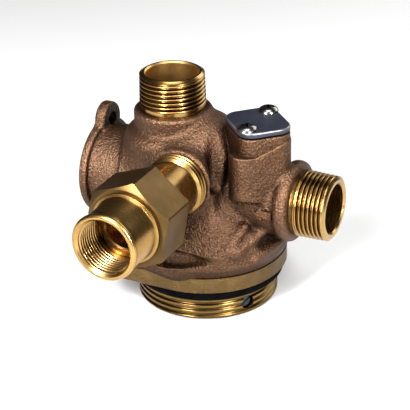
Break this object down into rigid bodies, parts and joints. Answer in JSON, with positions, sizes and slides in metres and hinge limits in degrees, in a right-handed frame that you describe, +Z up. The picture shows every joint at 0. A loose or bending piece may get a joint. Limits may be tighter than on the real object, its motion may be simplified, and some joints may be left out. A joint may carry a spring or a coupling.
{
  "type": "three way valve",
  "caption": "Cast bronze three way control valve with threaded inlet, outlet and drain ports, a tank thread and a sliding piston.",
  "frame": {"origin": "centre of the bottom face of the tank thread", "axes": "+Z up along the tank thread; +X out of the inlet port and along the piston; -Y out of the drain fitting"},
  "size_m": [0.1303, 0.1457, 0.118],
  "materials": {
    "cast_bronze": "sand cast bronze, turned bright on threads and seats",
    "brass": "turned and milled brass",
    "cover_steel": "dark slate coating",
    "screw_steel": "bright plated steel",
    "rubber": "moulded rubber",
    "plastic": "moulded engineering plastic"
  },
  "bodies": {
    "housing": {"valve_body": "cast_bronze", "tank_oring": "rubber", "base_set_screw": "brass", "distributor_oring": "rubber", "drain_fitting": "brass", "flow_control_button": "rubber", "flow_control_retainer": "brass", "injector_cover": "cover_steel", "injector_gasket": "rubber", "cover_screws": "screw_steel", "injector_nozzle": "plastic", "injector_throat": "plastic", "injector_screen": "plastic", "end_plug": "plastic", "end_plug_oring": "rubber", "rod_seal": "rubber", "retaining_ring": "screw_steel", "seal_ring_1": "rubber", "seal_ring_2": "rubber", "seal_ring_3": "rubber", "seal_ring_4": "rubber", "seal_ring_5": "rubber", "spacer_1": "plastic", "spacer_2": "plastic", "spacer_3": "plastic", "spacer_4": "plastic"},
    "piston_unit": {"piston": "brass", "piston_rod": "screw_steel", "rod_pin": "screw_steel"}
  },
  "joints": [
    {"name": "piston_slide", "type": "slide", "parent": "housing", "child": "piston_unit", "axis": [1, 0, 0], "range_m": [-0.027, 0]}
  ]
}
